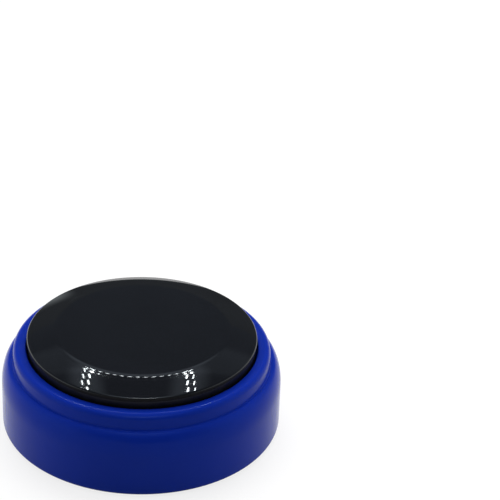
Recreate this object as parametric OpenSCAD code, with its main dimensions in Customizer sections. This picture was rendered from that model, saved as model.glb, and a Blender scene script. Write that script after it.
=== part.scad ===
// Talking clock with one large push button: a round stepped case that speaks the time when
// its top is pressed.
// Millimetres, +Z up. The origin is on the table, at the centre of the round case.

/* [Case] */
// Outer diameter of the case
body_d = 88; // [86:0.5:100]
// Outer diameter of the collar above the shoulder, at its foot
collar_d = 81.2; // [80:0.1:81.3]
// Height of the collar above the shoulder
collar_h = 4.8; // [4.4:0.1:5.8]
// Height of the curved shoulder
shoulder_h = 7.8; // [6.2:0.2:9.4]
// Width of the curved shoulder, seen from above
shoulder_w = 3; // [2.6:0.05:3.05]
// Thickness of the case wall
wall = 2.6; // [2:0.1:3]
// Depth of the rebate that takes the base cover
rebate = 0.8; // [0.6:0.1:1]
// Radius of the rounding at the bottom edge of the case
bottom_round = 1; // [0.4:0.1:1]
// Rounding at the outer top edge of the collar
collar_round = 2; // [1:0.1:2.2]
// Depth of the button pocket, from the top of the collar to the deck
pocket_h = 6.3; // [5.7:0.1:6.6]
// Thickness of the deck under the button
deck_t = 1.4; // [1.2:0.1:2]
// Thickness of the base cover
plate_t = 2.4; // [2.2:0.1:3]
// Outer diameter of a screw boss in the case
boss_d = 6; // [5:0.2:6.4]

/* [Push button] */
// Diameter of the push cap at its rim
cap_d = 72; // [70:0.5:73]
// Diameter of the flat face of the push cap
face_d = 55; // [50:0.5:58]
// Height of the sloping bevel between rim and face
bevel_h = 2.3; // [2:0.1:3.6]
// Radius of the soft edge between face and bevel
face_round = 8; // [3:0.5:10]
// Rise of the slightly domed face at its centre
face_crown = 0.4; // [0.2:0.1:0.8]
// Height of the upright rim of the push cap
rim_h = 1.4; // [1:0.1:2]
// Gap from the collar up to the lower edge of the push cap, at rest
cap_lift = 2; // [1.8:0.1:2.8]
// Thickness of the push cap
cap_wall = 1.5; // [1.2:0.1:1.8]
// Travel of the push button
press_travel = 2.5; // [1.5:0.1:2.6]
// Radial gap between the push cap and the case
cap_gap = 0.35; // [0.25:0.05:0.5]
// Thickness of the plunger carrier's plate
carrier_t = 1.4; // [1.2:0.1:1.8]
// Distance of the return springs from the centre
spring_r = 24; // [21:0.5:26]
// Mean diameter of a return spring
spring_d = 5.4; // [5:0.1:6.4]
// Diameter of the return springs' wire
spring_wire = 0.5; // [0.4:0.05:0.6]

/* [Board] */
// Diameter of the circuit board
board_d = 55; // [54:0.5:57]
// Thickness of the circuit board
board_t = 1.6; // [1.2:0.1:1.8]
// Height of the stand-offs between deck and board
standoff_h = 1.9; // [1.6:0.1:2.4]
// Height of the rubber dome on the board
dome_h = 4.8; // [4.2:0.1:5.2]
// Diameter of the rubber dome's base
dome_d = 13; // [12:0.5:14]

/* [Batteries] */
// Diameter of a battery cell
cell_d = 10.5; // [10.3:0.1:11]
// Length of a battery cell
cell_l = 44.5; // [43.5:0.1:45]
// Gap between the two cells
cell_gap = 0.7; // [0.6:0.1:1.5]
// Distance of the battery compartment from the centre
well_y = 16; // [15.8:0.1:16.4]
// Free length at a cell's raised pole
pole_room = 0.95; // [0.8:0.05:1.2]
// Free length at a cell's flat end, for the contact spring
spring_room = 4.9; // [4.2:0.1:5]
// Thickness of the compartment's walls
well_wall = 1.3; // [1:0.1:1.4]
// Thickness of the battery door
door_t = 1.6; // [1.4:0.1:1.8]
// Thickness of the foam pad on the door
pad_t = 0.6; // [0.4:0.1:1]

/* [Speaker] */
// Outer diameter of the speaker
speaker_d = 28; // [26:0.5:29]
// Height of the speaker's basket
basket_h = 3.7; // [3:0.1:4.5]
// Distance of the speaker from the centre
speaker_y = 22; // [21.6:0.1:23]
// Diameter of a sound hole
hole_d = 1.8; // [1.4:0.1:2]

/* [Setting controls] */
// Diameter of a setting button
set_d = 5.2; // [4.6:0.1:5.4]
// Distance from one setting button to the next
set_pitch = 14; // [12.5:0.1:14.4]
// Travel of a setting button
set_travel = 0.5; // [0.3:0.05:0.7]
// Height of the guide tubes above the base cover
guide_h = 5; // [4:0.1:6]
// Travel of the slide switch
slide_travel = 2; // [1.5:0.1:2.2]

/* [Feet and screws] */
// Height of the feet below the base cover
foot_out = 0.8; // [0.6:0.1:1.2]
// Diameter of a rubber foot
foot_d = 7.2; // [6:0.2:7.6]
// Diameter of a case screw's shank
screw_d = 2.2; // [1.8:0.1:2.6]
// Diameter of a case screw's head
head_d = 4.6; // [4:0.1:5]

/* [Hidden] */
$fn = 64;

// Clearances: faces that meet, parts that slide or drop in, screws in their holes
seat = 0.05;
slack = 0.2;
hole_play = 0.3;
// How far a cut runs past the face that it opens
cut = 0.5;

// Heights, from the table up
cell_play = 0.25;
roof_t = 1.2;
board_gap = 0.95;
cap_overlap = 1;
base_z = foot_out;
floor_z = base_z + plate_t;
cell_z = base_z + door_t + pad_t + cell_d / 2;
well_top = cell_z + cell_d / 2 + cell_play;
board_z = well_top + roof_t + board_gap;
board_top = board_z + board_t;
deck_z = board_top + standoff_h;
deck_top = deck_z + deck_t;
ring_z = deck_top + pocket_h;
shoulder_top = ring_z - collar_h;
shoulder_z = shoulder_top - shoulder_h;
edge_z = ring_z + cap_lift;
rim_z = edge_z + rim_h;
face_z = rim_z + bevel_h;
carrier_z = edge_z - cap_overlap;
carrier_top = carrier_z + carrier_t;

// Radii of the case
dome_room = 2;
collar_taper = 0.25;
collar_fillet = 0.3;
pocket_round = 0.4;
body_r = body_d / 2;
inner_r = body_r - wall;
rebate_r = inner_r + rebate;
plate_r = rebate_r - slack;
collar_r = collar_d / 2;
cap_r = cap_d / 2;
face_r = face_d / 2;
bore_r = cap_r + cap_gap;
ledge_r = body_r - shoulder_w;
deck_hole_r = dome_d / 2 + dome_room;

// Push cap
bevel_a = atan2(bevel_h, cap_r - face_r);
crown_r = (face_r * face_r + face_crown * face_crown) / (2 * face_crown);
rim_round = 0.7;
cap_chamfer = 0.15;
inner_face_in = 1;
inner_rim_drop = 0.5;
cap_boss_ring = 19;
cap_boss_r = 2.4;
cap_screw_r = 0.9;
cap_head_r = 2;
cap_grip = 2;
small_head_h = 1.2;

// Plunger carrier
skirt_in = 0.2;
skirt_t = 1.5;
skirt_r = cap_r - skirt_in;
skirt_z = deck_top + press_travel + hole_play;
cap_fit = 0.1;
neck_r = cap_r - cap_wall - cap_fit;
support_in = 2;
support_t = 1.4;
leg_in = 4.5;
leg_r = cap_r - leg_in;
leg_t = 1.4;
leg_w = 5;
leg_gap = 0.3;
hook = 1.4;
hook_h = 1.3;
hook_edge = 0.4;
hook_play = 0.1;
post_r = 4.2;
post_wall = 1.4;
post_floor = 1.6;
spigot_in = 0.8;
spigot_r = spring_d / 2 - spigot_in;
spigot_h = 1.5;
spring_turns = 4.5;
leg_angles = [0, 90, 180, 270];
spring_angles = [45, 135, 225, 315];

// Silicone dome
dome_r = dome_d / 2;
dome_foot_h = 0.7;
dome_skin = 0.9;
dome_rise = 0.3;
dome_top_r = 4;
dome_core_h = 1.5;

// Board
peg_x = 20;
peg_y = 15;
peg_r = 1.2;
peg_gap = 0.1;
peg_boss_r = 2.5;
board_edge = 3.5;
board_screw_r = board_d / 2 - board_edge;
board_screw_angles = [200, 270, 340];
board_boss_r = 2.8;
board_shank_r = 0.8;
board_head_r = 1.9;
board_grip = 0.5;
deck_skin = 0.5;
chip_x = -9;
chip_y = -11.5;
chip_r = 5;
chip_h = 1.6;
crystal_x = -6;
crystal_y = -18.5;
crystal_r = 1.05;
crystal_l = 6;
capacitor_x = 14;
capacitor_y = -11;
capacitor_pitch = 6;
capacitor_r = 2.5;
capacitor_h = 6;

// Battery compartment
side_play = 0.35;
cell_pitch = cell_d + cell_gap;
well_l = cell_l + pole_room + spring_room;
cell_shift = (spring_room - pole_room) / 2;
well_w = cell_pitch + cell_d + 2 * side_play;
well_x = well_l / 2;
cell_rows = [well_y - cell_pitch / 2, well_y + cell_pitch / 2];
pole_h = 0.8;
pole_r = 1.9;
lip = 1.2;
door_end_gap = 0.4;
door_x = well_x + lip + door_end_gap;
door_w = well_w + 2 * lip;
knuckle_r = 1.2;
knuckle_gap = 0.4;
knuckle_z = base_z + knuckle_r;
hinge_in = 0.8;
hinge_x = -(well_x + hinge_in);
hinge_pin_r = 0.7;
hinge_pin_l = 1.5;
hinge_gap = 0.05;
hinge_ear_w = 3.4;
hinge_ear_t = 2.2;
hinge_ear_h = 0.9;
latch_w = 8;
latch_t = 1;
latch_h = 2.2;
latch_gap = 0.4;
latch_hook = 0.6;
latch_edge = 0.5;
latch_top = 1.3;
finger_r = 4;
finger_deep = 1;
grip_ribs = 5;
grip_pitch = 1.6;
grip_w = 0.8;
grip_l = 9;
grip_in = 3;
groove_deep = 0.3;
pad_in = 3;
pad_side = 2;
pad_round = 1.5;
contact_t = 0.3;
contact_w = 7.6;
contact_h = 6.4;
stub_r = 2.4;
tab_w = 1.8;
tab_t = 0.5;
tab_out = 2.2;
tab_rise = 1.7;
tab_gap = 0.3;
cell_spring_top_r = 1.7;
cell_spring_r = 3.1;
cell_spring_turns = 4;
cell_spring_wire = 0.4;

// Speaker
speaker_r = speaker_d / 2;
gasket_t = 0.6;
gasket_in = 0.6;
flange_t = 0.6;
flange_w = 1.4;
magnet_r = speaker_r / 2;
magnet_h = 3;
basket_lip = 1.4;
basket_sheet = 0.5;
basket_hole_r = 2;
flange_z = floor_z + gasket_t;
basket_z = flange_z + basket_h;
cone_in = 0.7;
cone_t = 0.3;
cone_roll = 1.2;
cone_cap_r = 4;
rib_t = 1.4;
rib_r = speaker_r + hole_play;
rib_h = 3;
speaker_post_r = 1.9;
speaker_head_r = 1.95;
speaker_head_h = 1.1;
speaker_head_gap = 0.25;
speaker_screw_l = 2.2;
speaker_pilot = 1.2;
speaker_screw_out = 1.1;
speaker_screw_ring = speaker_r + speaker_screw_out;
speaker_screw_angles = [90, 210, 330];
lug_gap = 1.2;
lug_r = magnet_r + lug_gap;
lug_w = 1.8;
lug_l = 9;
lug_t = 0.5;
lug_top = basket_z + lug_t;
hole_pitch = 3.2;
hole_rings = 3;

// Setting controls
set_r = set_d / 2;
set_gap = 0.15;
tube_t = 1.35;
tube_r = set_r + set_gap + tube_t;
key_gap = 0.7;
set_y = well_y - well_w / 2 - well_wall - key_gap - tube_r;
set_x = [for (i = [-1.5:1:1.5]) i * set_pitch];
set_flange_w = 0.8;
set_flange_h = 0.85;
set_flange_r = set_r + set_flange_w;
tact_w = 6;
tact_h = 3.5;
tact_z = board_z - tact_h;
tact_plunger_r = 1.7;
tact_plunger_h = 1.1;
tact_plunger_in = 0.6;
tact_play = 0.1;
stem_r = 1.6;
panel_deep = 0.4;
panel_side = 2.5;
panel_edge = 1.6;
face_in = 0.35;
dot_r = 0.42;
dot_tip_r = 0.25;
dot_h = 0.2;
dot_root = 0.1;
dot_pitch = 1.5;
dot_row = dot_pitch / 2;
slide_in = 0.3;
slide_y = (well_y + well_w / 2 + well_wall + inner_r) / 2 - slide_in;
can_l = 8.6;
can_w = 4.4;
can_h = 3.7;
ear_l = 3.2;
ear_t = 0.4;
ear_hole_r = 0.8;
switch_screw_r = 0.6;
switch_screw_l = 1.6;
switch_head_r = 1.3;
switch_head_h = 0.8;
switch_pilot = 1.4;
switch_screw_x = (can_l + ear_l) / 2;
switch_pitch = 2.5;
pin_w = 0.6;
pin_d = 0.8;
pin_h = 1.6;
knob_l = 3;
knob_w = 1.6;
knob_in = 0.1;
knob_gap = 0.3;
knob_groove = 0.4;
knob_groove_pitch = 0.9;
shoe_l = 4.4;
shoe_w = 2.8;
shoe_h = 1.6;
shoe_z = 0.5;
trough_deep = 0.8;
trough_side = 3.5;
trough_edge = 2.2;

// Feet and screws
boss_r = boss_d / 2;
boss_into_wall = 0.3;
boss_ring = inner_r - boss_r + boss_into_wall;
rear_boss_a = asin(well_y / boss_ring);
boss_angles = [rear_boss_a, 180 - rear_boss_a, 215, 325];
boss_h = 12;
boss_end = 2;
shank_r = screw_d / 2;
screw_l = 8;
head_r = head_d / 2;
head_h = 1.3;
head_in = 0.1;
foot_r = foot_d / 2;
foot_gap = 0.1;
foot_in = 0.8;
foot_edge = 0.9;
foot_land = 0.8;
foot_ring = plate_r - foot_r - foot_edge;
rear_foot_a = asin((well_y + door_w / 2 + foot_r + foot_land) / foot_ring);
foot_angles = [rear_foot_a, 180 - rear_foot_a, 232, 308];

// Inner wires: their size and the points that they pass
wire_r = 0.55;
wire_turn = 1.2;
solder_turn = 0.9;
wire_z = board_top + standoff_h / 2;
speaker_wire_x = 3;
speaker_pad_x = 4;
speaker_pad_y = -8;
speaker_wire_rise = 2.6;
speaker_wire_drop = 2.8;
red_pad_x = 22.5;
red_pad_y = 9;
black_pad_x = 14;
black_pad_y = 20.5;
switch_pad_x = -5;
switch_pad_pitch = 2;
switch_pad_y = 23.5;
switch_bend_y = 31.6;
switch_wire_rise = 2.4;
switch_wire_top = 5;

// Points on an arc or an ellipse's arc
function arc(x, y, a, b, from, to, n = 8) =
    [for (i = [0:n]) let (t = from + (to - from) * i / n) [x + a * cos(t), y + b * sin(t)]];

// A flat slab with round corners, centred on x and y
module slab(l, w, h, r) {
    linear_extrude(h)
        union() {
            square([l - 2 * r, w], center = true);
            square([l, w - 2 * r], center = true);
            for (x = [-1, 1], y = [-1, 1])
                translate([x * (l / 2 - r), y * (w / 2 - r)])
                    circle(r);
        }
}

// A tube swept along a list of points, each ring square to the path
function unit(v) = v / norm(v);
function along(p, i) = unit(p[min(i + 1, len(p) - 1)] - p[max(i - 1, 0)]);
function across(d, side) = unit(cross(d, side));
function sweep_rings(p, r, side, n) =
    [for (i = [0:len(p) - 1])
        let (d = along(p, i), u = across(d, side), v = cross(d, u))
            for (k = [0:n - 1]) p[i] + r * (cos(360 * k / n) * u + sin(360 * k / n) * v)];
function sweep_faces(m, n) = concat(
    [[for (k = [0:n - 1]) k]],
    [for (i = [0:m - 2], k = [0:n - 1]) let (j = (k + 1) % n)
        [i * n + k, (i + 1) * n + k, i * n + j]],
    [for (i = [0:m - 2], k = [0:n - 1]) let (j = (k + 1) % n)
        [i * n + j, (i + 1) * n + k, (i + 1) * n + j]],
    [[for (k = [n - 1:-1:0]) (m - 1) * n + k]]);

module swept(p, r, side, n = 8) {
    polyhedron(sweep_rings(p, r, side, n), sweep_faces(len(p), n), convexity = 6);
}

// A path through corner points, with every corner rounded
function rounded(p, r, n = 4) = concat(
    [p[0]],
    [for (i = [1:len(p) - 2])
        let (a = p[i] + r * unit(p[i - 1] - p[i]), b = p[i] + r * unit(p[i + 1] - p[i]))
            for (k = [0:n]) let (t = k / n, u = 1 - t) u * u * a + 2 * t * u * p[i] + t * t * b],
    [p[len(p) - 1]]);

// A coil spring's centreline about +Z, with flat end turns
function coil(r0, r1, h, turns, wire, steps = 14) =
    [for (i = [0:turns * steps])
        let (t = i / (turns * steps), r = r0 + (r1 - r0) * t,
            rise = min(1, max(0, (t * turns - 0.75) / (turns - 1.5))))
            [r * cos(360 * i / steps), r * sin(360 * i / steps),
                wire / 2 + 0.02 * i / steps + rise * (h - wire - 0.02 * turns)]];

// Case
function case_profile() = concat(
    [[deck_hole_r, deck_z]],
    arc(inner_r - shoulder_w, shoulder_z, shoulder_w, deck_z - shoulder_z, 90, 0),
    [[inner_r, floor_z], [rebate_r, floor_z], [rebate_r, base_z]],
    arc(body_r - bottom_round, base_z + bottom_round, bottom_round, bottom_round, -90, 0, 5),
    arc(ledge_r, shoulder_z, shoulder_w, shoulder_h, 0, 90, 16),
    arc(collar_r + collar_fillet, shoulder_top + collar_fillet,
        collar_fillet, collar_fillet, 270, 180, 4),
    arc(collar_r - collar_taper - collar_round, ring_z - collar_round,
        collar_round, collar_round, 0, 90, 12),
    arc(bore_r + pocket_round, ring_z - pocket_round, pocket_round, pocket_round, 90, 180, 4),
    [[bore_r, deck_top], [deck_hole_r, deck_top]]);

module at_ring(r, angles) {
    for (a = angles)
        rotate([0, 0, a])
            translate([r, 0, 0])
                children();
}

module leg_slots() {
    at_ring(leg_r, leg_angles)
        translate([-leg_t / 2 - leg_gap, -leg_w / 2 - leg_gap, deck_z - cut])
            cube([leg_t + 2 * leg_gap, leg_w + 2 * leg_gap, deck_t + 2 * cut]);
}

module upper_housing() {
    color("mediumblue")
        difference() {
            union() {
                rotate_extrude()
                    polygon(case_profile());
                at_ring(boss_ring, boss_angles)
                    translate([0, 0, floor_z + seat])
                        cylinder(r = boss_r, h = boss_h);
                at_ring(board_screw_r, board_screw_angles)
                    translate([0, 0, board_top])
                        cylinder(r = board_boss_r, h = standoff_h + deck_t / 2);
                for (x = [-peg_x, peg_x])
                    translate([x, peg_y, 0]) {
                        translate([0, 0, board_top])
                            cylinder(r = peg_boss_r, h = standoff_h + deck_t / 2);
                        translate([0, 0, board_z])
                            cylinder(r = peg_r, h = board_t + cut);
                    }
                at_ring(spring_r, spring_angles)
                    translate([0, 0, deck_top - deck_t / 2])
                        cylinder(r = spigot_r, h = spigot_h + deck_t / 2);
            }
            leg_slots();
            at_ring(boss_ring, boss_angles)
                translate([0, 0, floor_z - cut])
                    cylinder(r = shank_r + seat, h = boss_h - boss_end + cut);
            at_ring(board_screw_r, board_screw_angles)
                translate([0, 0, board_top - cut])
                    cylinder(r = board_shank_r + seat, h = cut + standoff_h + deck_t - deck_skin);
        }
}

// Base cover with the battery compartment, speaker seat and guides
module compartment() {
    translate([0, well_y, 0]) {
        translate([0, 0, floor_z - cut])
            linear_extrude(well_top + roof_t - floor_z + cut)
                square([well_l + 2 * well_wall, well_w + 2 * well_wall], center = true);
    }
    intersection() {
        translate([hinge_x, well_y, base_z])
            for (y = [-1, 1])
                translate([-hinge_ear_w / 2, (y * (door_w + hinge_ear_t) - hinge_ear_t) / 2, 0])
                    cube([hinge_ear_w, hinge_ear_t, plate_t + hinge_ear_h]);
        cylinder(r = inner_r - seat, h = board_z);
    }
}

module compartment_hollow() {
    translate([0, well_y, 0]) {
        translate([0, 0, base_z + door_t])
            linear_extrude(well_top - base_z - door_t)
                square([well_l, well_w], center = true);
        translate([hinge_x - knuckle_r - slack, -door_w / 2, base_z - cut])
            cube([door_x + slack - hinge_x + knuckle_r + slack, door_w, door_t + cut + seat]);
        translate([hinge_x - knuckle_r - slack, -door_w / 2, base_z])
            cube([2 * knuckle_r + slack + knuckle_gap, door_w, 2 * knuckle_r + slack]);
        translate([hinge_x, 0, knuckle_z])
            rotate([90, 0, 0])
                cylinder(r = hinge_pin_r + hinge_gap, h = door_w + 2 * hinge_pin_l + 2 * slack,
                    center = true);
        translate([well_x - cut, -latch_w / 2 - latch_gap, floor_z])
            cube([well_wall + 2 * cut, latch_w + 2 * latch_gap, latch_h]);
        translate([door_x + slack, 0, base_z - cut])
            cylinder(r = finger_r, h = cut + finger_deep);
        for (y = [-cell_pitch / 2, cell_pitch / 2])
            translate([well_x - cut, y - tab_w / 2 - tab_gap, cell_z + tab_rise - tab_gap])
                cube([well_wall + 2 * cut, tab_w + 2 * tab_gap, tab_t + 2 * tab_gap]);
    }
}

module sound_holes() {
    translate([0, -speaker_y, base_z - cut]) {
        cylinder(d = hole_d, h = plate_t + 2 * cut);
        for (ring = [1:hole_rings])
            at_ring(ring * hole_pitch, [for (i = [0:6 * ring - 1]) 60 * i / ring])
                cylinder(d = hole_d, h = plate_t + 2 * cut);
    }
}

module base_cover() {
    color("royalblue")
        difference() {
            union() {
                translate([0, 0, base_z])
                    cylinder(r = plate_r, h = plate_t);
                compartment();
                translate([0, -speaker_y, floor_z - cut])
                    difference() {
                        cylinder(r = rib_r + rib_t, h = rib_h + cut);
                        translate([0, 0, cut])
                            cylinder(r = rib_r, h = rib_h + cut);
                    }
                translate([0, -speaker_y, floor_z - cut])
                    at_ring(speaker_screw_ring, speaker_screw_angles)
                        cylinder(r = speaker_post_r, h = gasket_t + flange_t + cut);
                for (x = set_x)
                    translate([x, set_y, floor_z - cut])
                        cylinder(r = tube_r, h = guide_h + cut);
            }
            compartment_hollow();
            sound_holes();
            translate([0, -speaker_y, floor_z])
                cylinder(r = speaker_r + slack, h = rib_h);
            translate([0, -speaker_y, 0])
                at_ring(speaker_screw_ring, speaker_screw_angles) {
                    translate([0, 0, floor_z - speaker_pilot])
                        cylinder(r = board_shank_r + seat, h = speaker_pilot + gasket_t + flange_t + cut);
                    translate([0, 0, flange_z + flange_t])
                        cylinder(r = speaker_head_r + speaker_head_gap, h = rib_h);
                }
            for (x = set_x)
                translate([x, set_y, base_z - cut])
                    cylinder(r = set_r + set_gap, h = plate_t + guide_h + 2 * cut);
            translate([0, set_y, base_z - cut])
                slab(3 * set_pitch + set_d + 2 * panel_side, set_d + 2 * panel_edge,
                    cut + panel_deep, set_r + panel_edge - slack / 2);
            translate([0, slide_y, base_z - cut])
                slab(slide_travel + knob_l + 2 * trough_side, knob_w + 2 * trough_edge,
                    cut + trough_deep, knob_w / 2 + trough_edge - slack / 2);
            translate([0, slide_y, base_z])
                linear_extrude(plate_t + cut)
                    square([slide_travel + knob_l + 2 * knob_gap, knob_w + 2 * knob_gap], center = true);
            for (x = [-1, 1])
                translate([x * switch_screw_x, slide_y, floor_z - switch_pilot])
                    cylinder(r = switch_screw_r + seat, h = switch_pilot + cut);
            at_ring(boss_ring, boss_angles) {
                translate([0, 0, base_z - cut])
                    cylinder(r = shank_r + slack, h = plate_t + 2 * cut);
                translate([0, 0, base_z - cut])
                    cylinder(r = head_r + hole_play, h = head_h + cut + head_in);
            }
            at_ring(foot_ring, foot_angles)
                translate([0, 0, base_z - cut])
                    cylinder(r = foot_r + foot_gap, h = foot_in + cut);
        }
}

// Push cap: a bevelled shell with a slightly domed face, screwed to the plunger carrier
function face_edge() = let (r = face_r - face_round * tan(bevel_a / 2))
    [r, face_z - crown_r + face_crown + sqrt(crown_r * crown_r - r * r)];
function cap_profile() = let (
        edge = face_edge(),
        tilt = asin(edge[0] / crown_r),
        turn_x = edge[0] - face_round * sin(tilt),
        turn_z = edge[1] - face_round * cos(tilt),
        rim_x = cap_r - rim_round,
        drop = (rim_round + (rim_x - face_r) * sin(bevel_a)) / cos(bevel_a))
    concat(
        [[cap_r - cap_wall, edge_z], [cap_r - cap_chamfer, edge_z], [cap_r, edge_z + cap_chamfer]],
        arc(rim_x, face_z - drop, rim_round, rim_round, 0, 90 - bevel_a, 6),
        arc(turn_x, turn_z, face_round, face_round, 90 - bevel_a, 90 - tilt, 10),
        arc(0, face_z + face_crown - crown_r, crown_r, crown_r, 90 - tilt, 90, 10),
        [[0, face_z - cap_wall], [face_r - inner_face_in, face_z - cap_wall],
            [cap_r - cap_wall, rim_z - inner_rim_drop]]);

module push_cap() {
    color("black")
        difference() {
            union() {
                rotate_extrude()
                    polygon(cap_profile());
                at_ring(cap_boss_ring, leg_angles)
                    translate([0, 0, carrier_top + seat])
                        cylinder(r = cap_boss_r, h = face_z - cap_wall / 2 - carrier_top - seat);
            }
            at_ring(cap_boss_ring, leg_angles)
                translate([0, 0, carrier_top - cut])
                    cylinder(r = cap_screw_r + seat, h = cap_grip + cut + slack);
        }
}

module cap_screws() {
    color("silver")
        at_ring(cap_boss_ring, leg_angles)
            translate([0, 0, carrier_z])
                pan_screw(cap_screw_r, carrier_t + cap_grip, cap_head_r, small_head_h);
}

module plunger_carrier() {
    color("dimgray")
        difference() {
            union() {
                rotate_extrude()
                    polygon([[0, carrier_z], [skirt_r - skirt_t, carrier_z],
                        [skirt_r - skirt_t, skirt_z], [skirt_r, skirt_z],
                        [skirt_r, edge_z - seat], [neck_r, edge_z - seat],
                        [neck_r, carrier_top], [0, carrier_top]]);
                translate([0, 0, carrier_z])
                    difference() {
                        cylinder(r = face_r - support_in, h = face_z - cap_wall - seat - carrier_z);
                        translate([0, 0, -cut])
                            cylinder(r = face_r - support_in - support_t, h = face_z);
                    }
                translate([0, 0, board_top + dome_h + seat])
                    cylinder(r = post_r, h = carrier_z + carrier_t / 2 - board_top - dome_h - seat);
                at_ring(spring_r, spring_angles)
                    translate([0, 0, carrier_z - spigot_h])
                        cylinder(r = spigot_r, h = spigot_h + carrier_t / 2);
                at_ring(leg_r, leg_angles)
                    snap_leg();
            }
            at_ring(cap_boss_ring, leg_angles)
                translate([0, 0, carrier_z - cut])
                    cylinder(r = cap_screw_r + slack, h = carrier_t + 2 * cut);
            translate([0, 0, board_top + dome_h + post_floor])
                cylinder(r = post_r - post_wall, h = carrier_top);
        }
}

// A leg that drops through the deck and hooks under it
module snap_leg() {
    hook_z = deck_z - hook_play - hook_h;
    translate([-leg_t / 2, 0, 0])
        rotate([90, 0, 0])
            linear_extrude(leg_w, center = true)
                polygon([[0, carrier_z + carrier_t / 2], [0, hook_z], [leg_t, hook_z],
                    [leg_t + hook, hook_z + hook_h - hook_edge], [leg_t + hook, hook_z + hook_h],
                    [leg_t, hook_z + hook_h], [leg_t, carrier_z + carrier_t / 2]]);
}

module return_springs() {
    color("silver")
        at_ring(spring_r, spring_angles)
            translate([0, 0, deck_top + seat])
                swept(coil(spring_d / 2, spring_d / 2, carrier_z - deck_top - 2 * seat,
                    spring_turns, spring_wire), spring_wire / 2, [0, 0, 1], 6);
}

module dome_switch() {
    color("whitesmoke")
        translate([0, 0, board_top])
            rotate_extrude()
                polygon([[dome_r - 2 * dome_skin, 0], [dome_r, 0], [dome_r, dome_foot_h],
                    [dome_r - dome_skin, dome_foot_h + dome_rise],
                    [dome_top_r, dome_h - dome_core_h], [dome_top_r, dome_h], [0, dome_h],
                    [0, dome_h - dome_core_h], [dome_top_r - dome_skin, dome_h - dome_core_h - dome_rise],
                    [dome_r - 2 * dome_skin, dome_foot_h]]);
}

module main_board() {
    color("darkgreen")
        difference() {
            translate([0, 0, board_z])
                cylinder(d = board_d, h = board_t);
            at_ring(board_screw_r, board_screw_angles)
                translate([0, 0, board_z - cut])
                    cylinder(r = board_shank_r + hole_play, h = board_t + 2 * cut);
            for (x = [-peg_x, peg_x])
                translate([x, peg_y, board_z - cut])
                    cylinder(r = peg_r + peg_gap, h = board_t + 2 * cut);
        }
}

module voice_chip() {
    color("black")
        translate([chip_x, chip_y, board_z])
            mirror([0, 0, 1])
                rotate_extrude()
                    polygon(concat([[0, 0]], arc(0, 0, chip_r, chip_h, 0, 90)));
}

module crystal() {
    color("silver")
        translate([crystal_x, crystal_y, board_z - crystal_r])
            rotate([0, 90, 0])
                cylinder(r = crystal_r, h = crystal_l);
}

module capacitors() {
    color("navy")
        for (y = [capacitor_y, capacitor_y - capacitor_pitch])
            translate([capacitor_x, y, board_z - capacitor_h])
                cylinder(r = capacitor_r, h = capacitor_h);
}

// A pan-head screw that points up, its head's bearing face at z = 0; the cross in its head is
// cut half its height deep
module pan_screw(r, length, head, height) {
    arm_l = 1.3 * head;
    arm_w = 0.24 * head;
    difference() {
        union() {
            cylinder(r = r, h = length);
            translate([0, 0, -height])
                cylinder(r = head, h = height);
        }
        for (a = [0, 90])
            rotate([0, 0, a])
                translate([-arm_l / 2, -arm_w / 2, -height - cut])
                    cube([arm_l, arm_w, cut + height / 2]);
    }
}

module board_screws() {
    color("silver")
        at_ring(board_screw_r, board_screw_angles)
            translate([0, 0, board_z])
                pan_screw(board_shank_r, board_t + standoff_h + board_grip,
                    board_head_r, small_head_h);
}

module set_switches() {
    color("dimgray")
        for (x = set_x)
            translate([x, set_y, tact_z])
                difference() {
                    translate([-tact_w / 2, -tact_w / 2, 0])
                        cube([tact_w, tact_w, tact_h]);
                    translate([0, 0, -cut])
                        cylinder(r = tact_plunger_r + tact_play,
                            h = cut + set_travel + tact_plunger_in + hole_play);
                }
}

// The moving pin of one tact switch
module tact_plunger(i) {
    color("ivory")
        translate([set_x[i], set_y, tact_z - tact_plunger_h])
            cylinder(r = tact_plunger_r, h = tact_plunger_h + tact_plunger_in);
}

module hour_plunger() {
    tact_plunger(0);
}

module minute_plunger() {
    tact_plunger(1);
}

module alarm_plunger() {
    tact_plunger(2);
}

module volume_plunger() {
    tact_plunger(3);
}

// One setting button: face, retaining flange and stem, with raised dots to feel
module set_button(i, dots) {
    face = base_z + face_in;
    flange = floor_z + guide_h + seat;
    stem_top = tact_z - tact_plunger_h - seat;
    color("black")
        translate([set_x[i], set_y, 0]) {
            translate([0, 0, face])
                cylinder(r = set_r, h = flange - face + set_flange_h / 2);
            translate([0, 0, flange])
                cylinder(r = set_flange_r, h = set_flange_h);
            translate([0, 0, flange + set_flange_h / 2])
                cylinder(r = stem_r, h = stem_top - flange - set_flange_h / 2);
            for (p = dots)
                translate([p[0], p[1], face - dot_h])
                    cylinder(r1 = dot_tip_r, r2 = dot_r, h = dot_h + dot_root);
        }
}

module hour_button() {
    set_button(0, [[0, 0]]);
}

module minute_button() {
    set_button(1, [[-dot_row, 0], [dot_row, 0]]);
}

module alarm_button() {
    set_button(2, [[-dot_row, -dot_row], [dot_row, -dot_row], [0, dot_row]]);
}

module volume_button() {
    set_button(3, [for (x = [-dot_row, dot_row], y = [-dot_row, dot_row]) [x, y]]);
}

module speaker_frame() {
    top_r = magnet_r + basket_lip;
    mouth_r = speaker_r - flange_w;
    color("silver")
        translate([0, -speaker_y, 0]) {
            translate([0, 0, flange_z])
                rotate_extrude()
                    polygon([[mouth_r, 0], [speaker_r, 0], [speaker_r, flange_t],
                        [mouth_r + basket_sheet / 2, flange_t], [top_r, basket_h],
                        [basket_hole_r, basket_h], [basket_hole_r, basket_h - basket_sheet],
                        [top_r - basket_sheet / 2, basket_h - basket_sheet],
                        [mouth_r - basket_sheet, flange_t / 2]]);
            translate([-lug_l / 2, lug_r, lug_top - 3 * lug_t])
                cube([lug_l, lug_w, 3 * lug_t]);
        }
}

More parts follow.
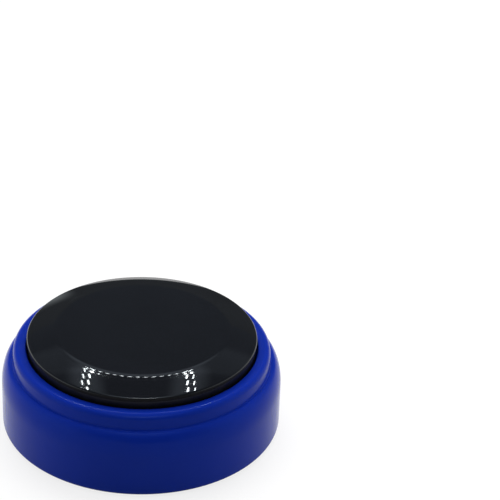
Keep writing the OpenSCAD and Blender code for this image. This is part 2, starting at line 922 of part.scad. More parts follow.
module speaker_magnet() {
    color("darkslategray")
        translate([0, -speaker_y, basket_z])
            cylinder(r = magnet_r, h = magnet_h);
}

module speaker_cone() {
    out_r = speaker_r - flange_w - cone_in;
    cap_h = basket_h - cone_roll;
    color("black")
        translate([0, -speaker_y, flange_z])
            rotate_extrude()
                polygon([[out_r, 0], [out_r, cone_t], [out_r - cone_roll, 2 * cone_t],
                    [cone_cap_r, cap_h], [0, cap_h], [0, cap_h - cone_t],
                    [cone_cap_r - cone_t, cap_h - cone_t], [out_r - cone_roll - cone_t, cone_t]]);
}

module speaker_gasket() {
    color("gray")
        translate([0, -speaker_y, floor_z])
            difference() {
                cylinder(r = speaker_r, h = gasket_t);
                translate([0, 0, -cut])
                    cylinder(r = speaker_r - flange_w - gasket_in, h = gasket_t + 2 * cut);
            }
}

module speaker_screws() {
    color("silver")
        translate([0, -speaker_y, flange_z + flange_t])
            at_ring(speaker_screw_ring, speaker_screw_angles)
                mirror([0, 0, 1])
                    pan_screw(board_shank_r, speaker_screw_l, speaker_head_r, speaker_head_h);
}

// A battery cell along X, its raised pole towards +X
module cell(side, y) {
    translate([side * cell_shift, y, cell_z])
        mirror([side < 0 ? 1 : 0, 0, 0])
            rotate([0, 90, 0]) {
                translate([0, 0, -cell_l / 2])
                    cylinder(d = cell_d, h = cell_l - pole_h);
                translate([0, 0, cell_l / 2 - pole_h - cut])
                    cylinder(r = pole_r, h = pole_h + cut);
            }
}

module battery_cell_front() {
    color("goldenrod")
        cell(1, cell_rows[0]);
}

module battery_cell_rear() {
    color("goldenrod")
        cell(-1, cell_rows[1]);
}

// A flat contact against the +X end wall of the compartment, with its solder tab
module end_contact(y) {
    translate([well_x - contact_t - seat, y, cell_z]) {
        translate([0, -contact_w / 2, -contact_h / 2])
            cube([contact_t, contact_w, contact_h]);
        translate([0, -tab_w / 2, tab_rise])
            cube([well_wall + tab_out, tab_w, tab_t]);
    }
}

// The raised dimple that touches a cell's pole
module pole_stub(side, y) {
    reach = pole_room - 2 * seat;
    translate([side * (well_x - seat - reach / 2), y, cell_z])
        rotate([0, 90, 0])
            cylinder(r = stub_r, h = reach, center = true);
}

module positive_contact() {
    color("silver")
        union() {
            end_contact(cell_rows[0]);
            pole_stub(1, cell_rows[0]);
        }
}

module negative_contact() {
    color("silver")
        end_contact(cell_rows[1]);
}

module contact_bridge() {
    color("silver")
        union() {
            translate([-well_x + seat, well_y - cell_pitch / 2 - contact_w / 2, cell_z - contact_h / 2])
                cube([contact_t, cell_pitch + contact_w, contact_h]);
            pole_stub(-1, cell_rows[1]);
        }
}

// A cell's coil spring, from the cell's flat end to the contact plate
module cell_spring(side, y) {
    room = spring_room - contact_t - 3 * seat;
    translate([side * (well_x - spring_room + seat), y, cell_z])
        rotate([0, side * 90, 0])
            swept(coil(cell_spring_top_r, cell_spring_r, room, cell_spring_turns, cell_spring_wire),
                cell_spring_wire / 2, [0, 0, 1], 6);
}

module contact_springs() {
    color("silver") {
        cell_spring(-1, cell_rows[0]);
        cell_spring(1, cell_rows[1]);
    }
}

module battery_door() {
    mid = (hinge_x + door_x) / 2;
    catch_x = well_x - seat;
    color("royalblue")
        translate([0, well_y, 0])
            difference() {
                union() {
                    translate([mid, 0, base_z])
                        linear_extrude(door_t)
                            square([door_x - hinge_x, door_w - 2 * slack], center = true);
                    translate([hinge_x, 0, knuckle_z])
                        rotate([90, 0, 0]) {
                            cylinder(r = knuckle_r, h = door_w - 2 * slack, center = true);
                            cylinder(r = hinge_pin_r, h = door_w + 2 * hinge_pin_l - slack, center = true);
                        }
                    translate([0, latch_w / 2, 0])
                        rotate([90, 0, 0])
                            linear_extrude(latch_w)
                                polygon([[catch_x - latch_t, base_z + door_t - cut],
                                    [catch_x, base_z + door_t - cut],
                                    [catch_x, floor_z + seat],
                                    [catch_x + latch_hook, floor_z + seat],
                                    [catch_x + latch_hook, floor_z + latch_edge],
                                    [catch_x, floor_z + latch_top],
                                    [catch_x - latch_t, floor_z + latch_top]]);
                }
                for (i = [0:grip_ribs - 1])
                    translate([door_x - grip_in - grip_pitch * i, -grip_l / 2, base_z - cut])
                        cube([grip_w, grip_l, cut + groove_deep]);
            }
}

module door_pad() {
    color("dimgray")
        translate([0, well_y, base_z + door_t])
            slab(cell_l - 2 * pad_in, well_w - 2 * pad_side, pad_t, pad_round);
}

module slide_switch_can() {
    window_l = slide_travel + knob_l + 2 * slack;
    room_l = slide_travel + shoe_l + 2 * slack;
    color("silver")
        translate([0, slide_y, floor_z])
            difference() {
                union() {
                    translate([-can_l / 2, -can_w / 2, 0])
                        cube([can_l, can_w, can_h]);
                    translate([-can_l / 2 - ear_l, -can_w / 2, 0])
                        cube([can_l + 2 * ear_l, can_w, ear_t]);
                    for (i = [-1, 0, 1])
                        translate([i * switch_pitch - pin_w / 2, -pin_d / 2, can_h - cut])
                            cube([pin_w, pin_d, pin_h + cut]);
                }
                translate([-window_l / 2, -knob_w / 2 - slack, -cut])
                    cube([window_l, knob_w + 2 * slack, cut + shoe_z + slack]);
                translate([-room_l / 2, -shoe_w / 2 - slack, shoe_z])
                    cube([room_l, shoe_w + 2 * slack, shoe_h + 2 * slack]);
                for (x = [-1, 1])
                    translate([x * switch_screw_x, 0, -cut])
                        cylinder(r = ear_hole_r, h = ear_t + 2 * cut);
            }
}

module slide_switch_knob() {
    bottom = base_z + knob_in;
    shoe = floor_z + shoe_z + slack;
    color("black")
        translate([-slide_travel / 2, slide_y, 0])
            difference() {
                union() {
                    translate([-knob_l / 2, -knob_w / 2, bottom])
                        cube([knob_l, knob_w, shoe - bottom + shoe_h / 2]);
                    translate([-shoe_l / 2, -shoe_w / 2, shoe])
                        cube([shoe_l, shoe_w, shoe_h]);
                }
                for (i = [-1, 0, 1])
                    translate([i * knob_groove_pitch - knob_groove / 2, -knob_w, bottom - cut])
                        cube([knob_groove, 2 * knob_w, cut + groove_deep]);
            }
}

module switch_screws() {
    color("silver")
        for (x = [-1, 1])
            translate([x * switch_screw_x, slide_y, floor_z + ear_t])
                mirror([0, 0, 1])
                    pan_screw(switch_screw_r, switch_screw_l, switch_head_r, switch_head_h);
}

module case_screws() {
    color("silver")
        at_ring(boss_ring, boss_angles)
            translate([0, 0, base_z + head_h + head_in])
                pan_screw(shank_r, screw_l, head_r, head_h);
}

module rubber_feet() {
    color("black")
        at_ring(foot_ring, foot_angles)
            cylinder(r = foot_r, h = foot_out + foot_in);
}

// Inner wires, from solder point to solder point
module speaker_wire(side) {
    lug = lug_top + seat;
    lug_y = -speaker_y + lug_r + lug_w / 2;
    swept(rounded([[side * speaker_wire_x, lug_y, lug],
        [side * speaker_wire_x, lug_y, lug + speaker_wire_rise],
        [side * speaker_pad_x, speaker_pad_y, board_z - speaker_wire_drop],
        [side * speaker_pad_x, speaker_pad_y, board_z - seat]], wire_turn), wire_r, [1, 0, 0]);
}

module speaker_wire_red() {
    color("red")
        speaker_wire(1);
}

module speaker_wire_black() {
    color("black")
        speaker_wire(-1);
}

// A wire from a contact's tab, round the board's edge and onto its upper face
module battery_wire(y, pad_x, pad_y) {
    tab_x = well_x + well_wall + tab_out - contact_t - seat - wire_r;
    tab_z = cell_z + tab_rise + tab_t + seat;
    rise_x = max(tab_x, sqrt(board_d * board_d / 4 - y * y) + wire_r + hole_play);
    swept(rounded([[tab_x, y, tab_z], [rise_x, y, (tab_z + board_z) / 2], [rise_x, y, wire_z],
        [pad_x, pad_y, wire_z], [pad_x, pad_y, board_top + seat]],
        solder_turn * (wire_z - board_top)), wire_r, [0, 1, 0]);
}

module battery_wire_red() {
    color("red")
        battery_wire(cell_rows[0], red_pad_x, red_pad_y);
}

module battery_wire_black() {
    color("black")
        battery_wire(cell_rows[1], black_pad_x, black_pad_y);
}

module switch_wire(pin_x, pad_x) {
    start = floor_z + can_h + pin_h + seat;
    swept(rounded([[pin_x, slide_y, start], [pin_x, slide_y, start + switch_wire_rise],
        [pad_x, switch_bend_y, start + switch_wire_top], [pad_x, switch_bend_y, wire_z],
        [pad_x, switch_pad_y, wire_z], [pad_x, switch_pad_y, board_top + seat]],
        solder_turn * (wire_z - board_top)), wire_r, [1, 0, 0]);
}

module switch_wires() {
    color("white") {
        switch_wire(-switch_pitch, switch_pad_x - switch_pad_pitch);
        switch_wire(0, switch_pad_x);
    }
}

upper_housing();
base_cover();
push_cap();
cap_screws();
plunger_carrier();
return_springs();
dome_switch();
main_board();
voice_chip();
crystal();
capacitors();
board_screws();
set_switches();
hour_plunger();
minute_plunger();
alarm_plunger();
volume_plunger();
hour_button();
minute_button();
alarm_button();
volume_button();
speaker_frame();
speaker_magnet();
speaker_cone();
speaker_gasket();
speaker_screws();
battery_cell_front();
battery_cell_rear();
positive_contact();
negative_contact();
contact_bridge();
contact_springs();
battery_door();
door_pad();
slide_switch_can();
slide_switch_knob();
switch_screws();
case_screws();
rubber_feet();
speaker_wire_red();
speaker_wire_black();
battery_wire_red();
battery_wire_black();
switch_wires();
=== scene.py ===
"""Dresses the talking clock: camera, materials, a finely turned push cap and the studio's light."""

import math

import bmesh
import bpy
from mathutils import Matrix, Vector


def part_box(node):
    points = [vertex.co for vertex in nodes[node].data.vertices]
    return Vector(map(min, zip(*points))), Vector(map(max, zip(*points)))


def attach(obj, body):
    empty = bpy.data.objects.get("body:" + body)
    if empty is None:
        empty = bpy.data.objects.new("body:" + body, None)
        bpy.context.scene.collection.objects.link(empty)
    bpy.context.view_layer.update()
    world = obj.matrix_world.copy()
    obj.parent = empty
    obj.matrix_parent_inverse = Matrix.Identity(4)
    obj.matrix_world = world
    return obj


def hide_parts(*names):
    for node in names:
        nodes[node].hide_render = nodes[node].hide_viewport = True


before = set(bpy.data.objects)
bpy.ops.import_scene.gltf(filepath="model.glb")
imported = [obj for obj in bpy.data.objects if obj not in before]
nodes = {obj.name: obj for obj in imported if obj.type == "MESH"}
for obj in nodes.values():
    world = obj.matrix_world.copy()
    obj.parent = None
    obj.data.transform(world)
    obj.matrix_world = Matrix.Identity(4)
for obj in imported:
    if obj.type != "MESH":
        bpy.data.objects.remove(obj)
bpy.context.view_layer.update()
MM = 0.001
MICRONS = 1e6  # in a metre


def place_camera():
    """A long lens, turned so that the clock stands low and left in the picture."""
    distance, elevation, target_z = 0.6, math.radians(32.713), 0.02
    yaw, pitch, roll = (math.radians(a) for a in (-3.225, 3.427, -0.473))
    fwd = Vector((0, math.cos(elevation), -math.sin(elevation)))
    right = Vector((1, 0, 0))
    up = right.cross(fwd)
    turn = Matrix.Rotation(yaw, 3, up)
    fwd, right = turn @ fwd, turn @ right
    turn = Matrix.Rotation(pitch, 3, right)
    fwd, up = turn @ fwd, turn @ up
    turn = Matrix.Rotation(roll, 3, fwd)
    right, up = turn @ right, turn @ up
    data = bpy.data.cameras.new("camera")
    data.lens, data.sensor_width = 136.45, 36  # millimetres
    data.clip_start, data.clip_end = 0.01, 20
    cam = bpy.data.objects.new("camera", data)
    bpy.context.scene.collection.objects.link(cam)
    place = Matrix((right, up, -fwd)).transposed().to_4x4()
    place.translation = Vector((0, -distance * math.cos(elevation),
                                distance * math.sin(elevation) + target_z))
    cam.matrix_world = place
    bpy.context.scene.camera = cam


place_camera()


class Tree:
    """A small builder for shader nodes; a value is a number, a colour or another node's socket."""

    def __init__(self, tree):
        self.tree = tree
        tree.nodes.clear()

    def add(self, kind, inputs=None, **props):
        node = self.tree.nodes.new(kind)
        for key, value in props.items():
            setattr(node, key, value)
        for key, value in (inputs or {}).items():
            if isinstance(value, bpy.types.NodeSocket):
                self.tree.links.new(value, node.inputs[key])
            else:
                node.inputs[key].default_value = value
        return node

    def link(self, value, socket):
        self.tree.links.new(value, self.shader.inputs[socket])

    def math(self, operation, a, b=0.0, c=0.0):
        return self.add("ShaderNodeMath", {0: a, 1: b, 2: c}, operation=operation).outputs[0]

    def product(self, *values):
        result = values[0]
        for value in values[1:]:
            result = self.math("MULTIPLY", result, value)
        return result

    def span(self, value, low, high, to_low=0.0, to_high=1.0):
        """A smooth step from to_low, where value is low, to to_high, where it is high."""
        return self.add("ShaderNodeMapRange", {"Value": value, 1: low, 2: high, 3: to_low, 4: to_high},
                        interpolation_type="SMOOTHSTEP").outputs[0]

    def mix(self, factor, a, b):
        return self.add("ShaderNodeMix", {0: factor, 6: a, 7: b}, data_type="RGBA").outputs[2]

    def noise(self, coords, scale, detail=2.0, rough=0.5):
        return self.add("ShaderNodeTexNoise", {"Vector": coords, "Scale": scale, "Detail": detail,
                                               "Roughness": rough}).outputs["Fac"]

    def stretched(self, coords, size):
        return self.add("ShaderNodeMapping", {"Vector": coords, "Scale": size}).outputs[0]

    def bump(self, height, strength, distance, under=None):
        inputs = {"Height": height, "Strength": strength, "Distance": distance}
        if under is not None:
            inputs["Normal"] = under
        return self.add("ShaderNodeBump", inputs).outputs[0]


def rgb(r, g, b):
    return (r, g, b, 1.0)


def shade(colour, factor):
    """A lighter or darker version of a colour."""
    return tuple(min(1.0, c * factor) for c in colour[:3]) + (1.0,)


def new_material(name, **sockets):
    """A material with a Principled shader whose plain sockets are set directly."""
    material = bpy.data.materials.new(name)
    material.use_nodes = True
    t = Tree(material.node_tree)
    out = t.add("ShaderNodeOutputMaterial")
    shader = t.add("ShaderNodeBsdfPrincipled")
    for key, value in sockets.items():
        shader.inputs[key.replace("_", " ")].default_value = value
    t.tree.links.new(shader.outputs[0], out.inputs[0])
    t.object_coords = t.add("ShaderNodeTexCoord").outputs["Object"]
    t.shader = shader
    return material, t


def moulded(name, colour, rough, grain, wave=0, swings=(0.04, 0.06), spec=0.5, tint=rgb(1, 1, 1)):
    """Moulded plastic: cloudy tone, uneven gloss, spark-erosion grain and slow waves.

    grain is the grain's size and depth and wave the waves' depth, all in micrometres; swings says how
    far the roughness and, as a share, the tone vary.
    """
    grain_size, grain_depth, wave_depth = grain[0] / MICRONS, grain[1] / MICRONS, wave / MICRONS
    rough_swing, tone_swing = swings
    cloud_scale, patch_scale, wave_scale = 55.0, 190.0, 130.0
    material, t = new_material(name, Specular_IOR_Level=spec, Specular_Tint=tint)
    p = t.object_coords
    cloud = t.noise(p, cloud_scale, 3.0, 0.55)
    fine = t.noise(p, 1.0 / grain_size, 2.0, 0.6)
    tone = t.span(cloud, 0.3, 0.7)
    t.link(t.mix(tone, shade(colour, 1 - tone_swing), shade(colour, 1 + tone_swing)), "Base Color")
    patch = t.noise(p, patch_scale, 4.0, 0.6)
    t.link(t.span(patch, 0.3, 0.7, rough - rough_swing, rough + rough_swing), "Roughness")
    normal = t.bump(fine, 1.0, grain_depth)
    if wave_depth:
        normal = t.bump(t.noise(p, wave_scale, 1.0, 0.4), 1.0, wave_depth, normal)
    t.link(normal, "Normal")
    return material


def metal(name, colour, rough, along="X", dull=0.08):
    """Drawn or plated metal with fine lines along one axis and a little staining."""
    material, t = new_material(name, Metallic=1.0)
    p = t.object_coords
    long_scale, cross_scale = 60, 3000
    size = [long_scale if axis == along else cross_scale for axis in "XYZ"]
    lines = t.noise(t.stretched(p, size), 1.0, 3.0, 0.6)
    stain = t.noise(p, 240.0, 4.0, 0.6)
    t.link(t.mix(t.span(stain, 0.35, 0.75), shade(colour, 1.06), shade(colour, 0.8)), "Base Color")
    t.link(t.span(lines, 0.25, 0.75, rough - dull, rough + dull), "Roughness")
    t.link(t.bump(lines, 0.5, 0.00001), "Normal")
    return material


def foam(name, colour, cell):
    """Open foam or pressed paper: pits of one size, in metres, darkened with painted shade, and a dusty
    tone.
    """
    material, t = new_material(name, Specular_IOR_Level=0.2)
    p = t.object_coords
    pits = t.add("ShaderNodeTexVoronoi", {"Vector": p, "Scale": 1.0 / cell}).outputs["Distance"]
    tone = t.noise(p, 700.0, 4.0, 0.6)
    # The pits, which the bump below makes low, are darker: painted shade in the recesses
    t.link(t.mix(t.span(pits, 0.0, 0.5), shade(colour, 0.5), shade(colour, 1.15)), "Base Color")
    t.link(t.span(tone, 0.3, 0.7, 0.8, 0.97), "Roughness")
    t.link(t.bump(pits, 1.0, cell * 0.3), "Normal")
    return material


BLUE = rgb(0.004, 0.022, 0.30)
case_blue = moulded("case_blue", BLUE, 0.17, (350, 1), wave=8, swings=(0.03, 0.03), spec=0.08,
                    tint=rgb(0.5, 0.78, 1))
base_blue = moulded("base_blue", shade(BLUE, 0.9), 0.46, (320, 30), swings=(0.05, 0.05), spec=0.3)
door_blue = moulded("door_blue", shade(BLUE, 0.92), 0.44, (320, 30), swings=(0.05, 0.05), spec=0.3)
cap_black = moulded("cap_black", rgb(0.004, 0.0045, 0.0065), 0.035, (600, 0.2), wave=2,
                    swings=(0.012, 0.1))
# Painted shade: a darker, duller copy of the cap's black for its outer rim wall, which keeps that wall dark
# instead of mirroring the pale floor
cap_side_painted_shade = moulded("cap_side_painted_shade", rgb(0.003, 0.003, 0.0035), 0.45, (300, 4), swings=(0.05, 0.1), spec=0.1)
carrier_black = moulded("carrier_black", rgb(0.003, 0.003, 0.0035), 0.34, (400, 4), swings=(0.05, 0.1),
                        spec=0.3)
switch_body = moulded("switch_body", rgb(0.02, 0.02, 0.022), 0.4, (300, 8))
plunger_ivory = moulded("plunger_ivory", rgb(0.62, 0.58, 0.46), 0.35, (300, 4), spec=0.4)
key_black = moulded("key_black", rgb(0.014, 0.014, 0.016), 0.5, (280, 20), swings=(0.06, 0.06))
chip_epoxy = moulded("chip_epoxy", rgb(0.01, 0.01, 0.011), 0.32, (700, 30), wave=40, swings=(0.08, 0.06))
capacitor_sleeve = moulded("capacitor_sleeve", rgb(0.01, 0.015, 0.07), 0.22, (800, 4), wave=20)
dome_silicone = moulded("dome_silicone", rgb(0.62, 0.6, 0.55), 0.55, (300, 8), spec=0.35)
foot_rubber = moulded("foot_rubber", rgb(0.022, 0.022, 0.024), 0.75, (250, 30), swings=(0.08, 0.15),
                      spec=0.3)
wire_red = moulded("wire_red", rgb(0.5, 0.02, 0.015), 0.35, (600, 6))
wire_black = moulded("wire_black", rgb(0.012, 0.012, 0.013), 0.35, (600, 6))
wire_white = moulded("wire_white", rgb(0.7, 0.69, 0.64), 0.38, (600, 6))
spring_wire = metal("spring_wire", rgb(0.58, 0.58, 0.6), 0.28, "Z")
crystal_can = metal("crystal_can", rgb(0.66, 0.65, 0.63), 0.3, "X")
screw_steel = metal("screw_steel", rgb(0.5, 0.51, 0.53), 0.34, "Z")
speaker_steel = metal("speaker_steel", rgb(0.55, 0.55, 0.54), 0.36, "Y")
switch_steel = metal("switch_steel", rgb(0.6, 0.6, 0.6), 0.32, "X")
contact_plate = metal("contact_plate", rgb(0.7, 0.68, 0.62), 0.26, "Y")
magnet_ferrite = moulded("magnet_ferrite", rgb(0.03, 0.03, 0.032), 0.7, (400, 20), spec=0.4)
cone_paper = foam("cone_paper", rgb(0.02, 0.02, 0.021), 0.0004)
gasket_foam = foam("gasket_foam", rgb(0.05, 0.05, 0.05), 0.0006)
pad_foam = foam("pad_foam", rgb(0.04, 0.04, 0.042), 0.0006)


def board_material():
    """Circuit board: green lacquer over a net of copper tracks."""
    material, t = new_material("board_green", Specular_IOR_Level=0.5)
    p = t.object_coords
    tracks = t.add("ShaderNodeTexBrick", {"Vector": p, "Scale": 260.0, "Mortar Size": 0.035,
                                          "Mortar Smooth": 0.1, "Brick Width": 0.9, "Row Height": 0.33},
                   offset=0.37).outputs["Fac"]
    weave = t.noise(p, 900.0, 3.0, 0.6)
    ground = t.mix(weave, rgb(0.006, 0.06, 0.02), rgb(0.012, 0.1, 0.035))
    t.link(t.mix(tracks, ground, rgb(0.03, 0.22, 0.06)), "Base Color")
    t.link(t.span(weave, 0.3, 0.7, 0.22, 0.34), "Roughness")
    t.link(t.bump(tracks, 0.4, 0.00003), "Normal")
    return material


def cell_material():
    """Battery jacket: a dark sleeve with a copper-coloured end."""
    copper_from = 0.0085  # metres along the cell
    material, t = new_material("cell_jacket", Specular_IOR_Level=0.5)
    p = t.object_coords
    x = t.add("ShaderNodeSeparateXYZ", {0: p}).outputs[0]
    band = t.math("GREATER_THAN", x, copper_from)
    scuff = t.noise(t.stretched(p, (200, 900, 900)), 1.0, 3.0, 0.6)
    dark = t.mix(scuff, rgb(0.012, 0.012, 0.014), rgb(0.022, 0.022, 0.025))
    copper = t.mix(scuff, rgb(0.42, 0.17, 0.05), rgb(0.5, 0.22, 0.07))
    t.link(t.mix(band, dark, copper), "Base Color")
    t.link(t.span(scuff, 0.2, 0.8, 0.18, 0.3), "Roughness")
    t.link(t.bump(scuff, 0.3, 0.00001), "Normal")
    return material


board_green = board_material()
cell_jacket = cell_material()

MATERIALS = {
    "upper_housing": case_blue, "base_cover": base_blue, "battery_door": door_blue, "push_cap": cap_black,
    "plunger_carrier": carrier_black, "cap_screws": screw_steel, "return_springs": spring_wire,
    "dome_switch": dome_silicone, "main_board": board_green, "voice_chip": chip_epoxy,
    "crystal": crystal_can, "capacitors": capacitor_sleeve, "board_screws": screw_steel,
    "set_switches": switch_body, "speaker_frame": speaker_steel, "speaker_magnet": magnet_ferrite,
    "speaker_cone": cone_paper, "speaker_gasket": gasket_foam, "speaker_screws": screw_steel,
    "battery_cell_front": cell_jacket, "battery_cell_rear": cell_jacket,
    "positive_contact": contact_plate, "negative_contact": contact_plate, "contact_bridge": contact_plate,
    "contact_springs": spring_wire, "door_pad": pad_foam, "slide_switch_can": switch_steel,
    "slide_switch_knob": key_black, "switch_screws": screw_steel, "case_screws": screw_steel,
    "rubber_feet": foot_rubber, "speaker_wire_red": wire_red, "speaker_wire_black": wire_black,
    "battery_wire_red": wire_red, "battery_wire_black": wire_black, "switch_wires": wire_white,
}
for key in ("hour", "minute", "alarm", "volume"):
    MATERIALS[key + "_button"] = key_black
    MATERIALS[key + "_plunger"] = plunger_ivory
for name, node in nodes.items():
    node.data.materials.clear()
    node.data.materials.append(MATERIALS[name])


def arc(x, y, radius, start, end, n):
    """Points of an arc round (x, y), with its angles in degrees."""
    angles = [math.radians(start + (end - start) * i / n) for i in range(n + 1)]
    return [(x + radius * math.cos(a), y + radius * math.sin(a)) for a in angles]


def turn(bm, profile, segments=288, middle=(0, 0)):
    """Adds a closed turned shape from (radius, height) points in millimetres."""
    rings = []
    for r, z in profile:
        angles = [2 * math.pi * k / segments for k in range(segments if r else 1)]
        rings.append([bm.verts.new(((middle[0] + r * math.cos(a)) * MM, (middle[1] + r * math.sin(a)) * MM,
                                    z * MM)) for a in angles])
    for lower, upper in zip(rings, rings[1:] + rings[:1]):
        for k in range(segments):
            j = (k + 1) % segments
            corners = [lower[k % len(lower)], lower[j % len(lower)], upper[j % len(upper)],
                       upper[k % len(upper)]]
            face = list(dict.fromkeys(corners))
            if len(face) > 2:
                bm.faces.new(face)


def finished(name, bm, material, sharp=math.radians(40)):
    """Turns a bmesh into a smoothly shaded object."""
    bmesh.ops.recalc_face_normals(bm, faces=bm.faces)
    mesh = bpy.data.meshes.new(name)
    bm.to_mesh(mesh)
    bm.free()
    mesh.shade_smooth()
    mesh.set_sharp_from_angle(angle=sharp)
    mesh.materials.append(material)
    obj = bpy.data.objects.new(name, mesh)
    bpy.context.scene.collection.objects.link(obj)
    return obj


def cap_skin():
    """The push cap, finer than the CAD mesh so that it mirrors cleanly, with a very slightly convex bevel.

    All lengths are in millimetres, and the sizes are those of part.scad.
    """
    low, high = (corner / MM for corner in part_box("push_cap"))
    cap_r, top = high[0], high[2]
    wall, crown, face_r, bevel_h, rim_h, rim_round, face_round = 1.5, 0.4, 27.5, 2.3, 1.4, 0.7, 8.0
    inner_step, inner_drop = 1, 0.5
    boss_ring, boss_r, hole_r, hole_h = 19, 2.4, 0.95, 2.15
    bulge, bulge_steps, chamfer, side_depth = 0.1, 14, 0.15, 0.05
    rim_steps, shoulder_steps, crown_steps, boss_segments = 12, 24, 16, 48
    face_z = top - crown
    rim_z = face_z - bevel_h
    edge_z = rim_z - rim_h
    bevel = math.atan2(bevel_h, cap_r - face_r)
    crown_r = (face_r ** 2 + crown ** 2) / (2 * crown)
    edge_r = face_r - face_round * math.tan(bevel / 2)
    centre_z = top - crown_r
    edge_h = centre_z + math.sqrt(crown_r ** 2 - edge_r ** 2)
    tilt = math.asin(edge_r / crown_r)
    rim_x = cap_r - rim_round
    drop = (rim_round + (rim_x - face_r) * math.sin(bevel)) / math.cos(bevel)
    bevel_d, tilt_d = math.degrees(bevel), math.degrees(tilt)
    rim = arc(rim_x, face_z - drop, rim_round, 0, 90 - bevel_d, rim_steps)
    shoulder = arc(edge_r - face_round * math.sin(tilt), edge_h - face_round * math.cos(tilt),
                   face_round, 90 - bevel_d, 90 - tilt_d, shoulder_steps)
    slope = []
    for i in range(1, bulge_steps):
        t = i / bulge_steps
        rise = 4 * t * (1 - t) * bulge
        slope.append((rim[-1][0] + (shoulder[0][0] - rim[-1][0]) * t + rise * math.sin(bevel),
                      rim[-1][1] + (shoulder[0][1] - rim[-1][1]) * t + rise * math.cos(bevel)))
    under = face_z - wall
    bm = bmesh.new()
    turn(bm, [(cap_r - wall, edge_z), (cap_r - chamfer, edge_z), (cap_r, edge_z + chamfer)] + rim + slope
         + shoulder + arc(0, centre_z, crown_r, 90 - tilt_d, 90, crown_steps)[1:-1]
         + [(0, top), (0, under), (face_r - inner_step, under), (cap_r - wall, rim_z - inner_drop)])
    for x, y in ((boss_ring, 0), (0, boss_ring), (-boss_ring, 0), (0, -boss_ring)):
        turn(bm, [(hole_r, low[2]), (boss_r, low[2]), (boss_r, under), (0, under),
                  (0, low[2] + hole_h), (hole_r, low[2] + hole_h)], boss_segments, (x, y))
    # Faces at the outer rim wall take the second material, the painted shade of a darker, duller black
    for face in bm.faces:
        face.material_index = int(face.calc_center_median().xy.length > (cap_r - side_depth) * MM)
    skin = finished("cap_skin", bm, cap_black)
    skin.data.materials.append(cap_side_painted_shade)
    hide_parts("push_cap")
    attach(skin, "push_button")


cap_skin()


def on_stage(name, corners, faces, material):
    """An object of the studio, which is not part of the clock."""
    mesh = bpy.data.meshes.new(name)
    mesh.from_pydata(corners, [], faces)
    mesh.materials.append(material)
    obj = bpy.data.objects.new(name, mesh)
    bpy.context.scene.collection.objects.link(obj)
    return obj


def rectangle(x0, y0, x1, y1, z):
    """The corners of a level rectangle, which faces up if y0 is below y1, and down otherwise."""
    return [(x0, y0, z), (x1, y0, z), (x1, y1, z), (x0, y1, z)]


def studio_floor():
    """A pale floor that keeps a soft shadow; it can be seen through from below."""
    half, own_light, shade_share, bounce = 3.0, 0.78, 0.22, 0.33
    material = bpy.data.materials.new("studio_floor")
    material.use_nodes = True
    t = Tree(material.node_tree)
    out = t.add("ShaderNodeOutputMaterial")
    rays = t.add("ShaderNodeLightPath").outputs
    seen = t.math("MAXIMUM", t.math("MAXIMUM", rays["Is Camera Ray"], rays["Is Glossy Ray"]),
                  rays["Is Transmission Ray"])
    tone = t.noise(t.add("ShaderNodeTexCoord").outputs["Object"], 40.0, 3.0)
    pale = t.mix(tone, rgb(0.98, 0.98, 0.99), rgb(1, 1, 1))
    share = t.math("MULTIPLY_ADD", seen, shade_share - bounce, bounce)
    paper = t.add("ShaderNodeBsdfDiffuse", {"Color": t.mix(share, rgb(0, 0, 0), pale)})
    glow = t.add("ShaderNodeEmission", {"Strength": t.math("MULTIPLY", seen, own_light)})
    lit = t.add("ShaderNodeAddShader", {0: paper.outputs[0], 1: glow.outputs[0]})
    below = t.add("ShaderNodeNewGeometry").outputs["Backfacing"]
    clear = t.add("ShaderNodeBsdfTransparent")
    both = t.add("ShaderNodeMixShader", {0: below, 1: lit.outputs[0], 2: clear.outputs[0]})
    t.tree.links.new(both.outputs[0], out.inputs[0])
    on_stage("studio_floor", rectangle(-half, -half, half, half, 0), [(0, 1, 2, 3)], material)


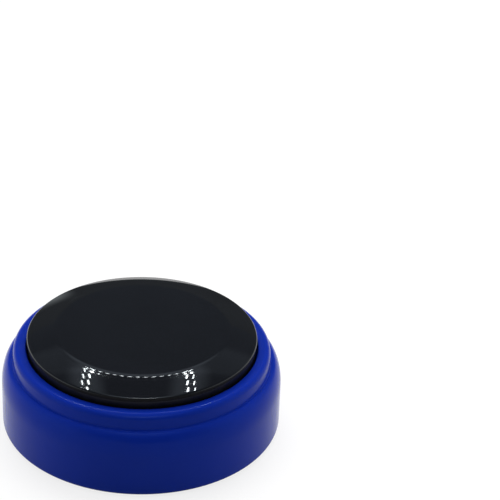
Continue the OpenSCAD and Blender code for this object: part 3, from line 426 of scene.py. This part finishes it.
def studio_world():
    """White surroundings, plain light that is weaker from the front, and for gloss a dim room.

    The bounds of each span are a direction's x, y or z.
    """
    room_low, room_rise, front_fall, room_tint = 0.065, 0.06, -0.05, rgb(0.88, 0.97, 1)
    wall_level, left_glow, right_glow = 0.55, 0.6, 0.3
    side_light, back_light, under_light = 1.7, 0.35, 0.5
    world = bpy.data.worlds.new("studio")
    bpy.context.scene.world = world
    world.use_nodes = True
    t = Tree(world.node_tree)
    out = t.add("ShaderNodeOutputWorld")
    rays = t.add("ShaderNodeLightPath").outputs
    way = t.add("ShaderNodeSeparateXYZ", {0: t.add("ShaderNodeTexCoord").outputs["Generated"]}).outputs
    x, y, z = t.math("ABSOLUTE", way[0]), way[1], way[2]

    # The room: lighter upwards, darker in front, with light side walls, a glow at each foot, white ground
    walls = t.product(t.span(x, 0.6, 0.92), t.span(z, 0.8, 0.55))
    glows = t.math("MAXIMUM", t.span(way[0], -0.14, -0.21, 0, left_glow),
                   t.span(way[0], 0.2, 0.4, 0, right_glow))
    room = t.math("MULTIPLY_ADD", t.span(z, 0.05, 0.4), room_rise, room_low)
    room = t.math("MULTIPLY_ADD", t.span(y, -0.1, -0.4), front_fall, room)
    room = t.math("MULTIPLY_ADD", walls, wall_level, room)
    room = t.math("ADD", room, t.product(glows, t.span(z, 0.24, 0.08)))
    room = t.math("MAXIMUM", room, t.span(z, 0.0, -0.02))

    # Plain light for all that isn't mirrored: strong from the sides and none from straight ahead
    plain = t.math("MULTIPLY_ADD", t.span(x, 0.35, 0.9), side_light, t.span(y, -0.5, 0.2, 0, back_light))
    plain = t.math("ADD", plain, t.span(z, -0.3, -0.7, 0, under_light))
    mirrored = t.math("MAXIMUM", rays["Is Glossy Ray"], rays["Is Transmission Ray"])
    level = t.math("MULTIPLY_ADD", mirrored, t.math("SUBTRACT", room, plain), plain)
    level = t.math("MAXIMUM", level, rays["Is Camera Ray"])
    back = t.add("ShaderNodeBackground", {"Color": t.mix(mirrored, rgb(1, 1, 1), room_tint),
                                          "Strength": level})
    t.tree.links.new(back.outputs[0], out.inputs[0])


def studio_lamps():
    """A broad soft light from above and behind."""
    data = bpy.data.lights.new("soft_top", "SUN")
    data.energy, data.angle = 2.9, math.radians(60)
    lamp = bpy.data.objects.new("soft_top", data)
    lamp.rotation_euler = (math.radians(-40), math.radians(4), 0)
    lamp.visible_glossy = False
    bpy.context.scene.collection.objects.link(lamp)


def glowing(name, colour):
    """A material that only gives light, with its emission as the tree's shader."""
    material = bpy.data.materials.new(name)
    material.use_nodes = True
    t = Tree(material.node_tree)
    t.shader = t.add("ShaderNodeEmission", {"Color": colour})
    t.tree.links.new(t.shader.outputs[0], t.add("ShaderNodeOutputMaterial").inputs[0])
    return material, t


def gloss_only(obj):
    """Leaves an object to be seen in reflections alone."""
    obj.visible_camera = obj.visible_diffuse = obj.visible_shadow = False


def studio_lid():
    """The light box's lid: a panel with lighter bands at the back, the front and along the sides.

    The bounds of each span are metres from the lid's middle line or from the clock's axis.
    """
    half_x, front_y, back_y, height = 0.6, -0.5, 0.75, 0.4
    middle_x, panel_level, front_level, side_level = -0.01, 0.13, 1.3, 0.38
    back_side, back_middle = 0.12, 0.5
    material, t = glowing("studio_lid", rgb(0.74, 0.86, 1))
    place = t.add("ShaderNodeSeparateXYZ", {0: t.add("ShaderNodeTexCoord").outputs["Object"]}).outputs
    x, y = t.math("ABSOLUTE", t.math("ADD", place[0], -middle_x)), place[1]
    back = t.product(t.span(y, 0.23, 0.27), t.span(y, 0.48, 0.4),
                     t.span(x, 0.16, 0.08, back_side, back_middle))
    sides = t.product(t.span(x, 0.055, 0.09), t.span(x, 0.17, 0.12), t.span(y, 0.3, 0.24, 0, side_level))
    front = t.product(t.span(y, -0.14, -0.22), t.span(y, -0.46, -0.36), t.span(x, 0.3, 0.1, 0, front_level))
    level = t.math("ADD", t.math("ADD", back, sides), t.math("ADD", front, panel_level))
    t.link(level, "Strength")
    gloss_only(on_stage("studio_lid", rectangle(-half_x, back_y, half_x, front_y, height),
                        [(0, 1, 2, 3)], material))


def studio_leds():
    """Rows of small lamps just below the lid: one at the back, one in front and two along each side."""
    level, height, pitch = 60.0, 0.398, 0.0149
    back_count, back_y, back_bow, back_half = 14, 0.218, 0.0007, (0.0028, 0.005)
    front_count, front_y, front_half = 13, -0.33, (0.003, 0.014)
    side_count, side_y, side_pitch, side_spread, side_half = 4, 0.26, 0.038, 0.055, 0.012
    side_rows = ((-0.114, 0.0009), (-0.1, 0.0016), (0.084, 0.0016), (0.098, 0.0009))  # x and half width
    lamps = []
    for i in range(back_count):
        place = i - (back_count - 1) / 2
        lamps.append((pitch * place, back_y + back_bow * place ** 2, *back_half))
    for i in range(front_count):
        lamps.append((pitch * (i - (front_count - 1) / 2), front_y, *front_half))
    for row_x, half_w in side_rows:
        for i in range(side_count):
            lamps.append((row_x * (1 + side_spread * i), side_y - side_pitch * i, half_w, side_half))
    material, t = glowing("studio_leds", rgb(0.9, 0.97, 1))
    t.shader.inputs["Strength"].default_value = level
    corners = [corner for x, y, half_w, half_l in lamps
               for corner in rectangle(x - half_w, y + half_l, x + half_w, y - half_l, height)]
    faces = [(n, n + 1, n + 2, n + 3) for n in range(0, len(corners), 4)]
    gloss_only(on_stage("studio_leds", corners, faces, material))


studio_floor()
studio_world()
studio_lamps()
studio_lid()
studio_leds()
bpy.context.scene.view_settings.view_transform = "Standard"
